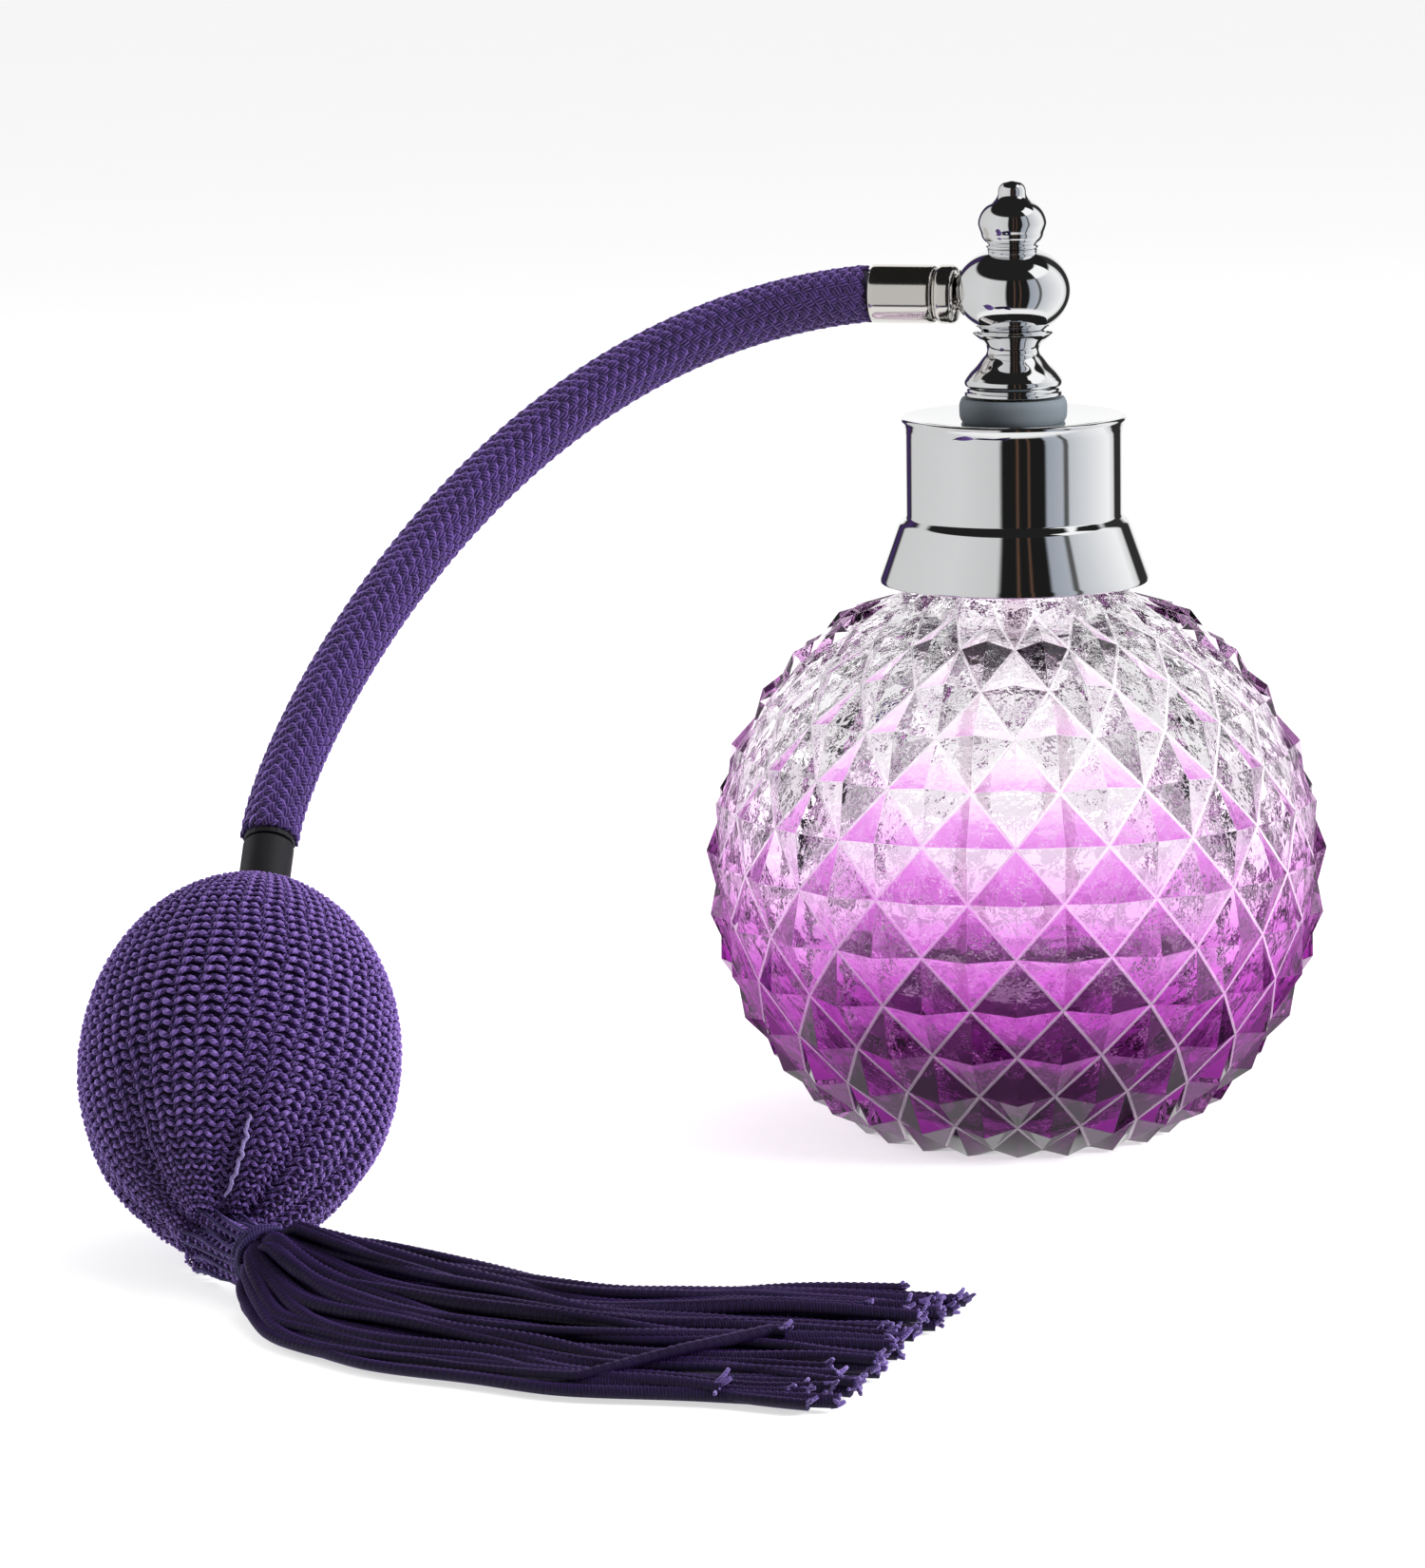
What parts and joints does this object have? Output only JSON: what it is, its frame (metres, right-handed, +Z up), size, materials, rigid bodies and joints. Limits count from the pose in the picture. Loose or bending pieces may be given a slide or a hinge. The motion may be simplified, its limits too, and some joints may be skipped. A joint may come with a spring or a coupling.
{
  "type": "perfume bottle",
  "caption": "Refillable perfume bottle: diamond-cut glass globe, chrome screw collar and spray head, braided hose, netted rubber squeeze bulb and corded tassel.",
  "frame": {"origin": "centre of the bottle's flat base, on the table", "axes": "+Z up along the bottle's axis, -X along the hose inlet, +X along the nozzle, -Y towards the front where the bulb and tassel lie"},
  "size_m": [0.1366, 0.1831, 0.1224],
  "materials": {
    "glass": "clear diamond-cut glass, tinted violet, deepening from clear at the shoulder to purple at the base",
    "chrome": "polished chrome plate",
    "nickel": "warm nickel plate, satin",
    "brass": "plain turned brass",
    "steel": "polished steel ball",
    "seal": "grey elastomer",
    "rubber": "matte black rubber",
    "tube": "clear polyethylene",
    "plastic": "natural polypropylene",
    "braid": "indigo braided sleeve",
    "net": "violet knitted net",
    "cords": "dark indigo knitted cord"
  },
  "bodies": {
    "bottle": {"glass_bottle": "glass"},
    "plug": {"neck_plug": "plastic"},
    "stem": {"head_stem": "brass", "bottle_seal": "seal", "swivel_gasket": "seal", "stem_nut": "brass", "dip_tube": "tube"},
    "collar": {"collar_shell": "chrome", "collar_insert": "plastic"},
    "head": {"head_base": "chrome", "head_ball": "chrome", "finial": "chrome", "nozzle_insert": "brass", "air_jet": "brass", "liquid_riser": "tube", "jet_block": "plastic"},
    "hose": {"hose_nipple": "brass", "hose_ferrule": "nickel", "air_hose": "rubber", "hose_sleeve": "braid"},
    "bulb": {"bulb_connector": "plastic", "rubber_bulb": "rubber", "bulb_net": "net", "intake_valve_body": "brass", "intake_valve_retainer": "brass", "net_tie": "cords"},
    "left_wall": {"bulb_wall_left": "rubber"},
    "right_wall": {"bulb_wall_right": "rubber"},
    "valve_ball": {"intake_valve_ball": "steel"},
    "tassel": {"tassel_cords": "cords"}
  },
  "joints": [
    {"name": "lift_off", "type": "slide", "parent": "bottle", "child": "plug", "axis": [0, 0, 1], "range_m": [0, 0.09]},
    {"name": "thread_rise", "type": "slide", "parent": "plug", "child": "stem", "axis": [0, 0, 1], "range_m": [0, 0.0045]},
    {"name": "collar_turn", "type": "hinge", "parent": "stem", "child": "collar", "pos_m": [0, 0, 0.08], "axis": [0, 0, 1], "range_deg": [-1, 541]},
    {"name": "head_swivel", "type": "hinge", "parent": "stem", "child": "head", "pos_m": [0, 0, 0.095], "axis": [0, 0, 1], "continuous": true},
    {"name": "hose_swivel", "type": "hinge", "parent": "head", "child": "hose", "pos_m": [-0.009, 0, 0.1078], "axis": [-1, 0, 0], "range_deg": [0, 100]},
    {"name": "hose_bend", "type": "hinge", "parent": "hose", "child": "bulb", "pos_m": [-0.0693, -0.0277, 0.078], "axis": [0, 0, 1], "range_deg": [-25, 25], "deforming": ["air_hose", "hose_sleeve"]},
    {"name": "bulb_squeeze", "type": "slide", "parent": "bulb", "child": "left_wall", "axis": [0.9919, 0.1269, 0], "range_m": [0, 0.007], "deforming": ["bulb_net"]},
    {"name": "bulb_squeeze_right", "type": "slide", "parent": "bulb", "child": "right_wall", "axis": [-0.9919, -0.1269, 0], "range_m": [0, 0.007]},
    {"name": "valve_lift", "type": "slide", "parent": "bulb", "child": "valve_ball", "axis": [-0.087, 0.68, 0.728], "range_m": [0, 0.0008]},
    {"name": "tassel_swing", "type": "hinge", "parent": "bulb", "child": "tassel", "pos_m": [-0.0666, -0.1089, 0.0054], "axis": [0, 0, 1], "range_deg": [-45, 40]}
  ],
  "couplings": [
    {"joint": "collar_turn", "follows": "thread_rise", "rad_per_m": 2094.4},
    {"joint": "bulb_squeeze_right", "follows": "bulb_squeeze", "ratio": 1}
  ]
}
